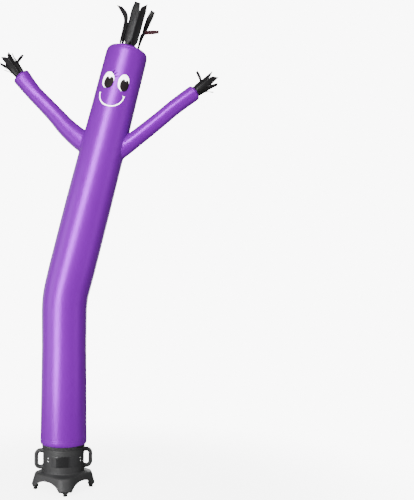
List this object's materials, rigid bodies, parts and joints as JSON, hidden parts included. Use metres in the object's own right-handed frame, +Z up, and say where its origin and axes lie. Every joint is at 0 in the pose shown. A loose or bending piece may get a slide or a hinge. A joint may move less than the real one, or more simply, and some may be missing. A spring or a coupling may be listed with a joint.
{
  "type": "inflatable air dancer with floor blower",
  "caption": "Inflated fabric tube figure with raised arms, a smiling face and streamers at head and hands, leaning above the round floor blower that fills it.",
  "frame": {"origin": "on the floor, under the middle of the whole object's box", "axes": "+Z up; -Y out of the blower's plate side, which the face looks to; +X to the right as seen from there, the way the figure leans"},
  "size_m": [1.5102, 0.4493, 3.3888],
  "materials": {
    "purple_nylon": "satin",
    "black_ribbon": "satin",
    "white_print": "satin",
    "dark_print": "satin",
    "charcoal_plastic": "matte",
    "gloss_plate": "gloss",
    "hook_tape": "matte",
    "black_rubber": "matte",
    "bright_steel": "polished"
  },
  "bodies": {
    "root": {"body_tube": "purple_nylon", "crown_panel": "purple_nylon", "left_arm": "purple_nylon", "right_arm": "purple_nylon", "left_hand_panel": "purple_nylon", "right_hand_panel": "purple_nylon", "hair_ribbons": "black_ribbon", "left_hand_ribbons": "black_ribbon", "right_hand_ribbons": "black_ribbon", "left_eye_white": "white_print", "right_eye_white": "white_print", "smile": "white_print", "left_pupil": "dark_print", "right_pupil": "dark_print", "blower_base": "charcoal_plastic", "blower_drum": "charcoal_plastic", "handle_left": "charcoal_plastic", "handle_right": "charcoal_plastic", "front_plate": "gloss_plate", "hook_band": "hook_tape", "wire_guard": "bright_steel", "cable_gland": "black_rubber", "foot_front": "black_rubber", "foot_back": "black_rubber", "foot_left": "black_rubber", "foot_right": "black_rubber", "rivet_left_upper": "bright_steel", "rivet_left_lower": "bright_steel", "rivet_right_upper": "bright_steel", "rivet_right_lower": "bright_steel", "rim_screw_1": "bright_steel", "rim_screw_2": "bright_steel", "rim_screw_3": "bright_steel", "rim_screw_4": "bright_steel", "rim_screw_5": "bright_steel", "rim_screw_6": "bright_steel"}
  },
  "joints": []
}
